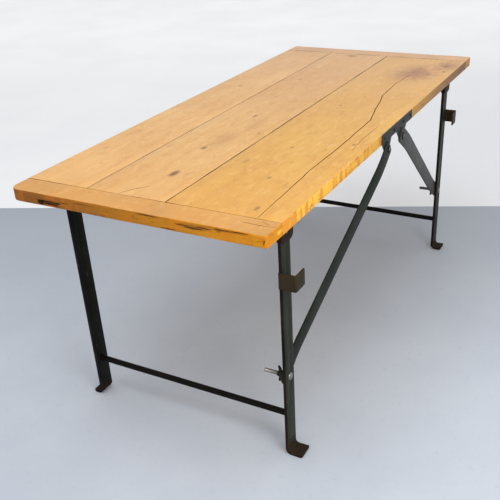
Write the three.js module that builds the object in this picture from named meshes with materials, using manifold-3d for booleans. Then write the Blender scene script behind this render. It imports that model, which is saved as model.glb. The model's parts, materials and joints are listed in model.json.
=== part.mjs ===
// A folding picnic table: a solid timber top with breadboard ends, two flat-bar leg frames that
// fold inward under it, and one sprung brace per frame, held by a bolt and a wing nut.
// Millimetres. X runs across the table, Y along it, Z up, and the floor is z = 0.

import * as THREE from 'three';
import { mergeVertices } from 'three/addons/utils/BufferGeometryUtils.js';
import Module from 'manifold-3d';

const wasm = await Module();
wasm.setup();

// ---- Driving dimensions ----------------------------------------------------------------------

const GAP = 0.3;

const TOP_LENGTH = 1735;
const TOP_WIDTH = 758;
const TOP_HEIGHT = 760;
const TOP_THICKNESS = 32;
const UNDERSIDE = TOP_HEIGHT - TOP_THICKNESS;
const BREADBOARD_WIDTH = 76;
const TONGUE_LENGTH = 26;
const TONGUE_THICKNESS = 11;
const BOARD_JOINTS = [-180, 63];

const LEG_Y = 696;
const LEG_WIDTH = 50;
const LEG_THICKNESS = 9;
const LEG_OUTER_X = 336;
const LEG_INNER_X = LEG_OUTER_X - LEG_THICKNESS;
const PIVOT_HEIGHT = 690;
const FOOT_BEND = 11;
const FOOT_LIFT = 2;
const FOOT_TIP_BEVEL = 9;
const FOOT_REACH = { near_right: 42, near_left: 25, far_right: 33, far_left: 29 };

const CROSSBAR_HEIGHT = 128;
const CROSSBAR_RADIUS = 9;

const BRACKET_THICKNESS = 3;
const BRACKET_LENGTH = 64;
const BRACKET_OFFSET_Y = 6;
const BRACKET_DROP = 68;
const BRACKET_TAB = 42;
const BRACKET_SCREW_OFFSET = 18;
const LEG_RIVET_RADIUS = 5;
const LEG_RIVET_HEAD = { radius: 9, height: 2 };

const HOOK_HEIGHT = 47;
const HOOK_CENTRE_Z = 564;
const HOOK_REACH = 40;
const HOOK_DEPTH = 47;
const HOOK_THICKNESS = 3.5;
const HOOK_CORNER = 5;

const PLATE_THICKNESS = 2.5;
const PLATE_ENDS = [-148, 127];
const PLATE_BOTTOM = 731.5;
const PLATE_X = TOP_WIDTH / 2 + GAP;
const EAR_SPANS = { near: [-148, -67], far: [-20, 73] };
const BRACE_PIVOT_Y = { near: -104, far: 26 };
const BRACE_PIVOT_Z = 706;
const EAR_RADIUS = 22;

const BRACE_WIDTH = 50;
const BRACE_THICKNESS = 6;
const BRACE_TOP_END = 14;
const BRACE_CORNER = 10;
const BRACE_STEPS = 22;
const BRACE_FLAT = 32;
const BRACE_BEND = 70;
const BRACE_PIVOT_X = PLATE_X + PLATE_THICKNESS + GAP + BRACE_THICKNESS / 2;
const BRACE_BOLT_X = LEG_INNER_X - GAP - BRACE_THICKNESS / 2;
const BRACE_RIVET_RADIUS = 5;

const BOLT_HEIGHT = 258;
const BOLT_RADIUS = 6;
const BOLT_HEAD_RADIUS = 11;
const BOLT_HEAD_HEIGHT = 5.2;
const BOLT_END_X = 258;
const WASHER_THICKNESS = 2.5;
const WASHER_RADIUS = 14;
const NUT_LENGTH = 17;
const NUT_RADIUS = 11;
const WING_SPAN = 25;
const WING_THICKNESS = 4.5;

const SCREW_RADIUS = 2.5;
const SCREW_HEAD_RADIUS = 5.2;
const SCREW_HEAD_HEIGHT = 2.4;
const SCREW_LENGTH = 22;
const SCREW_TIP = 5;
const PLATE_SCREWS_Y = [-128, -44, 40, 108];
const PLATE_SCREW_Z = 746;

const RIVET_HEAD_RADIUS = 12;
const RIVET_HEAD_HEIGHT = 3;
const OUTERMOST_X = BRACE_PIVOT_X + BRACE_THICKNESS / 2 + GAP + RIVET_HEAD_HEIGHT;
const CENTRING_SHIFT = -(OUTERMOST_X - TOP_WIDTH / 2) / 2;

// Cutting tools reach this far past whatever they cut.
const FAR_OUT = 420;

const ENDS = { near: -1, far: 1 };
const SIDES = { left: -1, right: 1 };

// ---- Materials -------------------------------------------------------------------------------

const FINISHES = {
  pine: { color: 0xd8ab73, roughness: 0.55, metalness: 0 },
  pine_end: { color: 0xc98f4c, roughness: 0.6, metalness: 0 },
  steel: { color: 0x33392f, roughness: 0.5, metalness: 0.6 },
  worn_steel: { color: 0x5b5c58, roughness: 0.45, metalness: 0.7 },
  zinc: { color: 0x8d8f8c, roughness: 0.4, metalness: 0.85 },
};

// ---- Solids ----------------------------------------------------------------------------------

const table = new THREE.Group();
table.position.x = CENTRING_SHIFT;

function solidOf(geometry) {
  const plain = new THREE.BufferGeometry();
  plain.setAttribute('position', geometry.getAttribute('position'));
  if (geometry.index) plain.setIndex(geometry.index);
  const merged = mergeVertices(plain, 1e-4);
  return new wasm.Manifold(new wasm.Mesh({
    numProp: 3,
    vertProperties: new Float32Array(merged.getAttribute('position').array),
    triVerts: new Uint32Array(merged.index.array),
  }));
}

function geometryOf(solid) {
  const mesh = solid.getMesh();
  const geometry = new THREE.BufferGeometry();
  geometry.setAttribute('position', new THREE.BufferAttribute(mesh.vertProperties, 3));
  geometry.setIndex(new THREE.BufferAttribute(mesh.triVerts, 1));
  geometry.computeVertexNormals();
  return geometry;
}

function addPiece(name, solid, finish) {
  const mesh = new THREE.Mesh(geometryOf(solid), new THREE.MeshStandardMaterial(FINISHES[finish]));
  mesh.name = name;
  table.add(mesh);
}

function cut(solid, tools) {
  return tools.reduce((rest, tool) => rest.subtract(tool), solid);
}

// A shape drawn in (Y, Z), pushed along +X between two planes.
function alongX(shape, x, curveSegments = 10) {
  const geometry = new THREE.ExtrudeGeometry(shape, {
    depth: x[1] - x[0], bevelEnabled: false, curveSegments });
  geometry.applyMatrix4(new THREE.Matrix4().makeBasis(
    new THREE.Vector3(0, 1, 0), new THREE.Vector3(0, 0, 1), new THREE.Vector3(1, 0, 0)));
  geometry.translate(x[0], 0, 0);
  return solidOf(geometry);
}

// A shape drawn in (X, Z), pushed along Y between two planes.
function alongY(shape, y, curveSegments = 8) {
  const geometry = new THREE.ExtrudeGeometry(shape, {
    depth: y[1] - y[0], bevelEnabled: false, curveSegments });
  geometry.applyMatrix4(new THREE.Matrix4().makeBasis(
    new THREE.Vector3(1, 0, 0), new THREE.Vector3(0, 0, 1), new THREE.Vector3(0, -1, 0)));
  geometry.translate(0, y[1], 0);
  return solidOf(geometry);
}

function rodX(radius, x, y, z, segments = 24) {
  const geometry = new THREE.CylinderGeometry(radius, radius, x[1] - x[0], segments);
  geometry.rotateZ(Math.PI / 2);
  geometry.translate((x[0] + x[1]) / 2, y, z);
  return solidOf(geometry);
}

// A turned piece: the profile lists (radius, height) up its axis, which is then laid along `axis`.
function turned(profile, axis, at, segments = 20) {
  const geometry = new THREE.LatheGeometry(profile.map(([r, h]) => new THREE.Vector2(r, h)), segments);
  const turn = new THREE.Quaternion().setFromUnitVectors(new THREE.Vector3(0, 1, 0), axis);
  geometry.applyQuaternion(turn);
  geometry.translate(at.x, at.y, at.z);
  return solidOf(geometry);
}

function polygon(points) {
  return new THREE.Shape(points.map(([u, v]) => new THREE.Vector2(u, v)));
}

// ---- Fasteners -------------------------------------------------------------------------------

// A round-headed wood screw whose head sits at `at`, its shank pointing along -axis.
function screw(axis, at) {
  const profile = [
    [0, -SCREW_LENGTH],
    [SCREW_RADIUS, -SCREW_LENGTH + SCREW_TIP],
    [SCREW_RADIUS, 0],
    [SCREW_HEAD_RADIUS, 0],
    [SCREW_HEAD_RADIUS * 0.8, SCREW_HEAD_HEIGHT * 0.7],
    [0, SCREW_HEAD_HEIGHT],
  ];
  return turned(profile, axis, at, 12);
}

function pilotHole(axis, at) {
  const radius = SCREW_RADIUS + GAP;
  const depth = SCREW_LENGTH + 1;
  const mouth = 6;
  return turned([[0, -depth], [radius, -depth], [radius, mouth], [0, mouth]], axis, at, 12);
}

// A rivet along X: one shank between two domed heads.
function rivetX(shankRadius, head, x, y, z) {
  const length = x[1] - x[0];
  const profile = [
    [0, -head.height],
    [head.radius * 0.6, -head.height * 0.85],
    [head.radius, 0],
    [shankRadius, 0],
    [shankRadius, length],
    [head.radius, length],
    [head.radius * 0.6, length + head.height * 0.85],
    [0, length + head.height],
  ];
  return turned(profile, new THREE.Vector3(1, 0, 0), new THREE.Vector3(x[0], y, z));
}

const DOWN = new THREE.Vector3(0, 0, -1);
const OUTWARD = new THREE.Vector3(1, 0, 0);

const bracketScrewSpots = [];
const plateScrewSpots = PLATE_SCREWS_Y.map((y) => new THREE.Vector3(
  PLATE_X + PLATE_THICKNESS + GAP, y, PLATE_SCREW_Z));
for (const [end, endSign] of Object.entries(ENDS)) {
  for (const [side, sideSign] of Object.entries(SIDES)) {
    for (const [index, offset] of [-BRACKET_SCREW_OFFSET, BRACKET_SCREW_OFFSET].entries()) {
      bracketScrewSpots.push({
        name: `bracket_screw_${end}_${side}_${index + 1}`,
        at: new THREE.Vector3(
          sideSign * (LEG_INNER_X - BRACKET_THICKNESS - BRACKET_TAB / 2),
          endSign * LEG_Y + BRACKET_OFFSET_Y + offset,
          UNDERSIDE - BRACKET_THICKNESS - 2 * GAP),
      });
    }
  }
}

// ---- Timber top ------------------------------------------------------------------------------

function addTop() {
  const boardEnd = TOP_LENGTH / 2 - BREADBOARD_WIDTH;
  const middle = TOP_HEIGHT - TOP_THICKNESS / 2;
  const tongueTop = middle + TONGUE_THICKNESS / 2;
  const tongueBottom = middle - TONGUE_THICKNESS / 2;
  const tongueEnd = boardEnd + TONGUE_LENGTH;
  const boardProfile = polygon([
    [-boardEnd, UNDERSIDE], [boardEnd, UNDERSIDE], [boardEnd, tongueBottom], [tongueEnd, tongueBottom],
    [tongueEnd, tongueTop], [boardEnd, tongueTop], [boardEnd, TOP_HEIGHT], [-boardEnd, TOP_HEIGHT],
    [-boardEnd, tongueTop], [-tongueEnd, tongueTop], [-tongueEnd, tongueBottom], [-boardEnd, tongueBottom],
  ]);
  const edges = [-TOP_WIDTH / 2, ...BOARD_JOINTS, TOP_WIDTH / 2];
  const pilots = [
    ...bracketScrewSpots.map((spot) => pilotHole(DOWN, spot.at)),
    ...plateScrewSpots.map((spot) => pilotHole(OUTWARD, spot)),
  ];
  for (const [index, name] of ['left', 'middle', 'right'].entries()) {
    const from = edges[index] + (index > 0 ? GAP / 2 : 0);
    const to = edges[index + 1] - (index < 2 ? GAP / 2 : 0);
    addPiece(`top_board_${name}`, cut(alongX(boardProfile, [from, to]), pilots), 'pine');
  }

  for (const [end, sign] of Object.entries(ENDS)) {
    const inner = boardEnd + GAP;
    const outer = TOP_LENGTH / 2;
    const groove = tongueEnd + GAP;
    const profile = polygon([
      [sign * inner, UNDERSIDE], [sign * outer, UNDERSIDE],
      [sign * outer, TOP_HEIGHT], [sign * inner, TOP_HEIGHT],
      [sign * inner, tongueTop + GAP], [sign * groove, tongueTop + GAP],
      [sign * groove, tongueBottom - GAP], [sign * inner, tongueBottom - GAP],
    ]);
    addPiece(`breadboard_${end}`, alongX(profile, [-TOP_WIDTH / 2, TOP_WIDTH / 2]), 'pine_end');
  }
}

// ---- Leg brackets under the top --------------------------------------------------------------

function bracket(endSign, sideSign) {
  const centreY = endSign * LEG_Y + BRACKET_OFFSET_Y;
  const span = [centreY - BRACKET_LENGTH / 2, centreY + BRACKET_LENGTH / 2];
  const top = UNDERSIDE - GAP;
  const seat = top - BRACKET_THICKNESS;
  const foot = UNDERSIDE - BRACKET_DROP;
  const outside = LEG_OUTER_X + GAP + BRACKET_THICKNESS;
  const inside = LEG_INNER_X - GAP - BRACKET_THICKNESS;
  const profile = polygon([
    [outside, top], [outside, foot], [outside - BRACKET_THICKNESS, foot],
    [outside - BRACKET_THICKNESS, seat], [inside + BRACKET_THICKNESS, seat],
    [inside + BRACKET_THICKNESS, foot], [inside, foot], [inside, seat],
    [inside - BRACKET_TAB, seat], [inside - BRACKET_TAB, top],
  ].map(([u, v]) => [sideSign * u, v]));
  const rivetHole = rodX(LEG_RIVET_RADIUS + GAP, [-FAR_OUT, FAR_OUT], endSign * LEG_Y, PIVOT_HEIGHT, 20);
  const screwHoles = bracketScrewSpots.map((spot) => pilotHole(DOWN, spot.at));
  return cut(alongY(profile, span), [rivetHole, ...screwHoles]);
}

function addBrackets() {
  for (const [end, endSign] of Object.entries(ENDS)) {
    for (const [side, sideSign] of Object.entries(SIDES)) {
      addPiece(`hinge_bracket_${end}_${side}`, bracket(endSign, sideSign), 'steel');
      const faces = [
        LEG_INNER_X - 2 * GAP - BRACKET_THICKNESS,
        LEG_OUTER_X + 2 * GAP + BRACKET_THICKNESS,
      ].map((x) => sideSign * x).sort((a, b) => a - b);
      const rivet = rivetX(LEG_RIVET_RADIUS, LEG_RIVET_HEAD, faces, endSign * LEG_Y, PIVOT_HEIGHT);
      addPiece(`leg_rivet_${end}_${side}`, rivet, 'worn_steel');
    }
  }
  for (const spot of bracketScrewSpots) {
    addPiece(spot.name, screw(DOWN, spot.at), 'zinc');
  }
}

// ---- Leg frames ------------------------------------------------------------------------------

// One flat bar: rounded at its pivot, with its lower end bent outward into a foot.
function leg(end, side) {
  const sideSign = SIDES[side];
  const y = ENDS[end] * LEG_Y;
  const reach = FOOT_REACH[`${end}_${side}`];
  const bendX = LEG_OUTER_X + FOOT_BEND;
  const bendZ = LEG_THICKNESS + FOOT_BEND;
  const tip = LEG_OUTER_X + reach;
  const bend = (radius, steps, backward) => Array.from({ length: steps + 1 }, (_, i) => {
    const angle = Math.PI + (backward ? steps - i : i) / steps * Math.PI / 2;
    return [bendX + radius * Math.cos(angle), bendZ + radius * Math.sin(angle)];
  });
  const profile = polygon([
    [LEG_INNER_X, TOP_HEIGHT],
    ...bend(FOOT_BEND + LEG_THICKNESS, 6, false),
    [tip - FOOT_TIP_BEVEL, 0], [tip, FOOT_LIFT],
    [tip, LEG_THICKNESS + FOOT_LIFT], [tip - FOOT_TIP_BEVEL, LEG_THICKNESS],
    ...bend(FOOT_BEND, 6, true),
    [LEG_OUTER_X, TOP_HEIGHT],
  ].map(([u, v]) => [sideSign * u, v]));
  const halfWidth = LEG_WIDTH / 2;
  const outline = new THREE.Shape();
  outline.moveTo(y - halfWidth, -1);
  outline.lineTo(y + halfWidth, -1);
  outline.lineTo(y + halfWidth, PIVOT_HEIGHT);
  outline.absarc(y, PIVOT_HEIGHT, halfWidth, 0, Math.PI, false);
  outline.lineTo(y - halfWidth, -1);
  const holes = [rodX(LEG_RIVET_RADIUS + GAP, [-FAR_OUT, FAR_OUT], y, PIVOT_HEIGHT, 20)];
  if (side === 'right') holes.push(rodX(BOLT_RADIUS + GAP, [0, FAR_OUT], y, BOLT_HEIGHT));
  const bar = alongY(profile, [y - halfWidth - 1, y + halfWidth + 1]);
  return cut(bar.intersect(alongX(outline, [-FAR_OUT, FAR_OUT])), holes);
}

// A short strap on the leg's outer-facing edge, bent back into a hook that holds the folded brace.
function hook(endSign) {
  const edge = LEG_Y + LEG_WIDTH / 2 + GAP;
  const outerX = LEG_OUTER_X + HOOK_REACH;
  const lip = edge - HOOK_DEPTH;
  const back = edge + HOOK_THICKNESS;
  const profile = polygon([
    [LEG_INNER_X, edge], [outerX - HOOK_THICKNESS, edge], [outerX - HOOK_THICKNESS, lip], [outerX, lip],
    [outerX, back - HOOK_CORNER], [outerX - HOOK_CORNER / 3, back - HOOK_CORNER / 3],
    [outerX - HOOK_CORNER, back], [LEG_INNER_X, back],
  ].map(([u, v]) => [u, endSign * v]));
  const geometry = new THREE.ExtrudeGeometry(profile, { depth: HOOK_HEIGHT, bevelEnabled: false });
  geometry.translate(0, 0, HOOK_CENTRE_Z - HOOK_HEIGHT / 2);
  return solidOf(geometry);
}

function addLegFrames() {
  for (const [end, endSign] of Object.entries(ENDS)) {
    for (const side of Object.keys(SIDES)) {
      addPiece(`leg_${end}_${side}`, leg(end, side), 'steel');
    }
    const barEnd = LEG_INNER_X - GAP;
    addPiece(`crossbar_${end}`,
      rodX(CROSSBAR_RADIUS, [-barEnd, barEnd], endSign * LEG_Y, CROSSBAR_HEIGHT), 'steel');
    addPiece(`brace_hook_${end}`, hook(endSign), 'steel');
  }
}

// ---- Edge plate and braces -------------------------------------------------------------------

function earOutline(shape, span, pivotY) {
  shape.lineTo(span[0], PLATE_BOTTOM);
  shape.absarc(pivotY, BRACE_PIVOT_Z, EAR_RADIUS, Math.PI, 2 * Math.PI, false);
  shape.lineTo(span[1], PLATE_BOTTOM);
}

function addEdgePlate() {
  const outline = new THREE.Shape();
  outline.moveTo(PLATE_ENDS[0], TOP_HEIGHT);
  earOutline(outline, EAR_SPANS.near, BRACE_PIVOT_Y.near);
  earOutline(outline, EAR_SPANS.far, BRACE_PIVOT_Y.far);
  outline.lineTo(PLATE_ENDS[1], PLATE_BOTTOM);
  outline.lineTo(PLATE_ENDS[1], TOP_HEIGHT);
  const holes = [
    ...Object.values(BRACE_PIVOT_Y).map((y) => rodX(
      BRACE_RIVET_RADIUS + GAP, [0, FAR_OUT], y, BRACE_PIVOT_Z, 20)),
    ...plateScrewSpots.map((spot) => pilotHole(OUTWARD, spot)),
  ];
  const plate = alongX(outline, [PLATE_X, PLATE_X + PLATE_THICKNESS]);
  addPiece('edge_plate', cut(plate, holes), 'worn_steel');
  for (const [index, spot] of plateScrewSpots.entries()) {
    addPiece(`edge_plate_screw_${index + 1}`, screw(OUTWARD, spot), 'zinc');
  }
}

// How far a brace has been sprung inward, at a distance along it from its rivet: a gentle bend, a
// straight run and a second gentle bend.
function braceOffset(distance, length) {
  const whole = length - 2 * BRACE_FLAT - BRACE_CORNER;
  const run = whole - BRACE_BEND;
  const done = THREE.MathUtils.clamp(distance - BRACE_FLAT, 0, whole);
  let share = (done - BRACE_BEND / 2) / run;
  if (done < BRACE_BEND) share = done ** 2 / (2 * BRACE_BEND * run);
  if (done > whole - BRACE_BEND) share = 1 - (whole - done) ** 2 / (2 * BRACE_BEND * run);
  return (BRACE_BOLT_X - BRACE_PIVOT_X) * share;
}

// One flat bar, flat on the plate's ear at its top and flat on the leg's inner face at its bottom.
function brace(end) {
  const rise = BRACE_PIVOT_Z - BOLT_HEIGHT;
  const run = ENDS[end] * LEG_Y - BRACE_PIVOT_Y[end];
  const length = Math.hypot(rise, run);
  const along = new THREE.Vector3(0, run / length, -rise / length);
  const across = new THREE.Vector3().crossVectors(along, OUTWARD);
  const halfWidth = BRACE_WIDTH / 2;
  const halfThickness = BRACE_THICKNESS / 2;

  const stations = Array.from({ length: BRACE_STEPS + 1 }, (_, i) =>
    -BRACE_TOP_END + (length + BRACE_TOP_END + halfWidth) * i / BRACE_STEPS);
  const profile = polygon([
    ...stations.map((s) => [s, braceOffset(s, length) - halfThickness]),
    ...stations.toReversed().map((s) => [s, braceOffset(s, length) + halfThickness]),
  ]);
  const bar = new THREE.ExtrudeGeometry(profile, { depth: BRACE_WIDTH, bevelEnabled: false });
  bar.translate(0, 0, -halfWidth);
  bar.applyMatrix4(new THREE.Matrix4().makeBasis(along, OUTWARD, across));
  bar.translate(BRACE_PIVOT_X, BRACE_PIVOT_Y[end], BRACE_PIVOT_Z);

  const outline = new THREE.Shape();
  outline.moveTo(-BRACE_TOP_END, -halfWidth + BRACE_CORNER);
  outline.lineTo(-BRACE_TOP_END + BRACE_CORNER, -halfWidth);
  outline.lineTo(length, -halfWidth);
  outline.absarc(length, 0, halfWidth, -Math.PI / 2, Math.PI / 2, false);
  outline.lineTo(-BRACE_TOP_END + BRACE_CORNER, halfWidth);
  outline.lineTo(-BRACE_TOP_END, halfWidth - BRACE_CORNER);
  const blankDepth = 200;
  const blank = new THREE.ExtrudeGeometry(outline, {
    depth: blankDepth, bevelEnabled: false, curveSegments: 12 });
  blank.translate(0, 0, -blankDepth / 2);
  blank.applyMatrix4(new THREE.Matrix4().makeBasis(along, across, OUTWARD.clone().negate()));
  blank.translate((BRACE_PIVOT_X + BRACE_BOLT_X) / 2, BRACE_PIVOT_Y[end], BRACE_PIVOT_Z);

  return cut(solidOf(bar).intersect(solidOf(blank)), [
    rodX(BRACE_RIVET_RADIUS + GAP, [0, FAR_OUT], BRACE_PIVOT_Y[end], BRACE_PIVOT_Z, 20),
    rodX(BOLT_RADIUS + GAP, [0, FAR_OUT], ENDS[end] * LEG_Y, BOLT_HEIGHT),
  ]);
}

// A dome-headed bolt through the leg and the brace, its plain shank pointing inward.
function boltSolid(y) {
  const headX = LEG_OUTER_X + GAP;
  const length = headX - BOLT_END_X;
  const chamfer = 1;
  const profile = [
    [0, -length],
    [BOLT_RADIUS - chamfer, -length],
    [BOLT_RADIUS, -length + chamfer],
    [BOLT_RADIUS, 0],
    [BOLT_HEAD_RADIUS, 0],
    [BOLT_HEAD_RADIUS * 0.9, BOLT_HEAD_HEIGHT * 0.4],
    [BOLT_HEAD_RADIUS * 0.55, BOLT_HEAD_HEIGHT * 0.85],
    [0, BOLT_HEAD_HEIGHT],
  ];
  return turned(profile, OUTWARD, new THREE.Vector3(headX, y, BOLT_HEIGHT), 24);
}

const WASHER_OUTER_X = BRACE_BOLT_X - BRACE_THICKNESS / 2 - GAP;
const NUT_OUTER_X = WASHER_OUTER_X - WASHER_THICKNESS - GAP;

function washer(y) {
  const disc = rodX(WASHER_RADIUS, [WASHER_OUTER_X - WASHER_THICKNESS, WASHER_OUTER_X], y, BOLT_HEIGHT);
  return disc.subtract(rodX(BOLT_RADIUS + GAP, [0, FAR_OUT], y, BOLT_HEIGHT));
}

// Half of the wings' outline: distance from the nut's flat face, and height above its axis.
const WING_OUTLINE = [
  [3, 0], [3, 9], [5, 16], [7, WING_SPAN - 3], [10, WING_SPAN],
  [15, WING_SPAN - 1], [18, WING_SPAN - 6], [17.5, 14], [15.5, 9], [15.5, 0],
];

// A cast wing nut: a tapered hub with two upright wings that flare away from the leg.
function wingNut(y) {
  const hubProfile = [
    [0, 0],
    [NUT_RADIUS * 0.77, 0],
    [NUT_RADIUS, NUT_LENGTH * 0.82],
    [NUT_RADIUS, NUT_LENGTH],
    [0, NUT_LENGTH],
  ];
  const hubAt = new THREE.Vector3(NUT_OUTER_X - NUT_LENGTH, y, BOLT_HEIGHT);
  const hub = turned(hubProfile, OUTWARD, hubAt, 24);
  const wings = [-1, 1].map((sign) => {
    const outline = WING_OUTLINE.map(([back, height]) => [NUT_OUTER_X - back, BOLT_HEIGHT + sign * height]);
    return alongY(polygon(outline), [y - WING_THICKNESS / 2, y + WING_THICKNESS / 2]);
  });
  const bore = rodX(BOLT_RADIUS + GAP, [0, FAR_OUT], y, BOLT_HEIGHT);
  return hub.add(wings[0]).add(wings[1]).subtract(bore);
}

function addBraces() {
  for (const [end, endSign] of Object.entries(ENDS)) {
    const y = endSign * LEG_Y;
    addPiece(`brace_${end}`, brace(end), 'worn_steel');
    const rivetFaces = [PLATE_X - GAP, BRACE_PIVOT_X + BRACE_THICKNESS / 2 + GAP];
    const rivetHead = { radius: RIVET_HEAD_RADIUS, height: RIVET_HEAD_HEIGHT };
    const rivet = rivetX(
      BRACE_RIVET_RADIUS, rivetHead, rivetFaces, BRACE_PIVOT_Y[end], BRACE_PIVOT_Z);
    addPiece(`brace_rivet_${end}`, rivet, 'worn_steel');
    addPiece(`brace_bolt_${end}`, boltSolid(y), 'zinc');
    addPiece(`brace_washer_${end}`, washer(y), 'zinc');
    addPiece(`wing_nut_${end}`, wingNut(y), 'zinc');
  }
}

addTop();
addBrackets();
addLegFrames();
addEdgePlate();
addBraces();

export default table;
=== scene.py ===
# %% [markdown]
# # A folding picnic table, piece by piece
# The table has a solid softwood top, two leg frames of flat bar that fold under it, and one brace
# for each frame. A brace is sprung against its leg and held by a bolt and a wing nut.
#
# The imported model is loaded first. It fixes every size and place, so the pieces below are drawn
# over its solids and take their measures from them. All lengths are in metres.

# %% Load the frame
import json
import math
import random

import bmesh
import bpy
from mathutils import Matrix, Vector, noise


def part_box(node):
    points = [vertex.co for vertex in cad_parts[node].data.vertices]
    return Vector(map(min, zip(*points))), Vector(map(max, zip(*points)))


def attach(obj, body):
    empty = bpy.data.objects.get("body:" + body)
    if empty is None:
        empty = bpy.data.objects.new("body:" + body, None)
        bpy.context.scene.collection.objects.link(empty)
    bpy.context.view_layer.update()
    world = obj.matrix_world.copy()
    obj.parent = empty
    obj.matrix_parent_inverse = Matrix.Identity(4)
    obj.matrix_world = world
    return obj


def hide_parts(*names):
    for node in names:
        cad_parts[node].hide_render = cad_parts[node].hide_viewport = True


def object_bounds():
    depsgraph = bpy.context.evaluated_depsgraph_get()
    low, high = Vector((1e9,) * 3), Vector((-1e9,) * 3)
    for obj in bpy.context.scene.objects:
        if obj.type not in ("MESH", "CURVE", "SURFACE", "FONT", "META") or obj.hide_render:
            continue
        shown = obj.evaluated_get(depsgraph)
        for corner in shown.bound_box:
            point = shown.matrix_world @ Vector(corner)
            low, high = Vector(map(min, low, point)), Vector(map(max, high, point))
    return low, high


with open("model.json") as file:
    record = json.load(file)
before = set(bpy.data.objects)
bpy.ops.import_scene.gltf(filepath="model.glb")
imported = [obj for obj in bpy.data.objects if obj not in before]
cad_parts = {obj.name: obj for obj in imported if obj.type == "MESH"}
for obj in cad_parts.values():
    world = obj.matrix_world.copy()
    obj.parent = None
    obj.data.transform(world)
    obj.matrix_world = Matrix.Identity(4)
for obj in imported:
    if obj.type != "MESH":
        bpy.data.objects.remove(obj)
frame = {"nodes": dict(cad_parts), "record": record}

cad_low, cad_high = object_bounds()
MM = 0.001
ENDS = {"near": -1, "far": 1}
SIDES = {"left": -1, "right": 1}
centre_x = (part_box("breadboard_near")[0].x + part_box("breadboard_near")[1].x) / 2
print("loaded", len(frame["nodes"]), "nodes, centre line at x =", round(centre_x, 4))

# %% [markdown]
# ## The camera
# The viewer stands off the near right corner, at about eye height, and looks down at the table.
# The camera is turned by three angles: around the table, down towards it, and a slight roll.
# A small lens shift frames the picture without tilting the camera any further.

# %% Camera
AZIMUTH, ELEVATION, ROLL = (math.radians(a) for a in (29.663, 29.576, -3.211))
forward = Vector((-math.sin(AZIMUTH) * math.cos(ELEVATION),
                  math.cos(AZIMUTH) * math.cos(ELEVATION),
                  -math.sin(ELEVATION)))
level = Vector((math.cos(AZIMUTH), math.sin(AZIMUTH), 0))
upward = level.cross(forward)
camera_x = math.cos(ROLL) * level + math.sin(ROLL) * upward
camera_y = math.cos(ROLL) * upward - math.sin(ROLL) * level

camera = bpy.data.objects.new("camera", bpy.data.cameras.new("camera"))
bpy.context.scene.collection.objects.link(camera)
camera.matrix_world = (Matrix.Translation((1.06368, -2.13066, 1.45861))
                       @ Matrix((camera_x, camera_y, -forward)).transposed().to_4x4())
camera.data.sensor_width = 36
camera.data.lens = 53.346
camera.data.shift_x = -0.016
camera.data.shift_y = 0.070
bpy.context.scene.camera = camera
print("camera at", [round(v, 2) for v in camera.location])

# %% [markdown]
# ## Ways of working
# The next cells hold the few moves that every piece is made with. `block` adds a cube and gives
# it two opposite corners. `pick` selects faces or edges by where they are or which way they face,
# as a mouse would. `bake` applies a modifier. Everything is deselected before a new primitive is
# added, because an operator acts on all that is selected.

# %% Selecting, adding and baking
def start_fresh(piece=None):
    if bpy.context.object and bpy.context.object.mode != "OBJECT":
        bpy.ops.object.mode_set(mode="OBJECT")
    bpy.ops.object.select_all(action="DESELECT")
    if piece:
        piece.select_set(True)
        bpy.context.view_layer.objects.active = piece


def settle(name):
    """Names the new primitive and moves its place, turn and size into its mesh."""
    bpy.ops.object.transform_apply(location=True, rotation=True, scale=True)
    piece = bpy.context.object
    piece.name = piece.data.name = name
    return piece


def block(name, low, high):
    start_fresh()
    low, high = Vector(map(min, low, high)), Vector(map(max, low, high))
    bpy.ops.mesh.primitive_cube_add(size=1, location=(low + high) / 2)
    bpy.context.object.scale = high - low
    return settle(name)


def rod(name, start, end, radius, sides=24):
    start_fresh()
    start, end = Vector(start), Vector(end)
    turn = Vector((0, 0, 1)).rotation_difference(end - start)
    bpy.ops.mesh.primitive_cylinder_add(
        vertices=sides, radius=radius, depth=(end - start).length,
        location=(start + end) / 2, rotation=turn.to_euler())
    return settle(name)


def edit(piece):
    start_fresh(piece)
    bpy.ops.object.mode_set(mode="EDIT")


def pick(piece, kind, test):
    """In edit mode, selects the faces or edges that pass the test, and says how many did."""
    bpy.ops.mesh.select_mode(type=kind)
    bpy.ops.mesh.select_all(action="DESELECT")
    mesh = bmesh.from_edit_mesh(piece.data)
    chosen = [part for part in (mesh.faces if kind == "FACE" else mesh.edges) if test(part)]
    for part in chosen:
        part.select_set(True)
    bmesh.update_edit_mesh(piece.data)
    return len(chosen)


def middle_of(edge):
    return (edge.verts[0].co + edge.verts[1].co) / 2


def runs_along(edge, axis):
    step = edge.verts[1].co - edge.verts[0].co
    return abs(step[axis]) > 0.99 * step.length


def pull(x=0.0, y=0.0, z=0.0):
    """Extrudes what is selected."""
    bpy.ops.mesh.extrude_region_move(TRANSFORM_OT_translate={"value": (x, y, z)})


def slice_at(axis, place):
    normal = [0, 0, 0]
    normal[axis] = 1
    spot = [0, 0, 0]
    spot[axis] = place
    bpy.ops.mesh.select_all(action="SELECT")
    bpy.ops.mesh.bisect(plane_co=spot, plane_no=normal)


def close_up(piece):
    """Merges doubles, turns the faces outwards and leaves edit mode."""
    bpy.ops.mesh.select_all(action="SELECT")
    bpy.ops.mesh.remove_doubles(threshold=1e-6)
    bpy.ops.mesh.normals_make_consistent(inside=False)
    bpy.ops.object.mode_set(mode="OBJECT")


def bake(piece, kind, **settings):
    start_fresh(piece)
    modifier = piece.modifiers.new(kind.title(), kind)
    for name, value in settings.items():
        setattr(modifier, name, value)
    bpy.ops.object.modifier_apply(modifier=modifier.name)


def ease(piece, width, segments=2, angle=35):
    """Takes the sharpness off every edge, as a file or years of hands do."""
    bake(piece, "BEVEL", width=width, segments=segments, limit_method="ANGLE",
         angle_limit=math.radians(angle), harden_normals=False)


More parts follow.
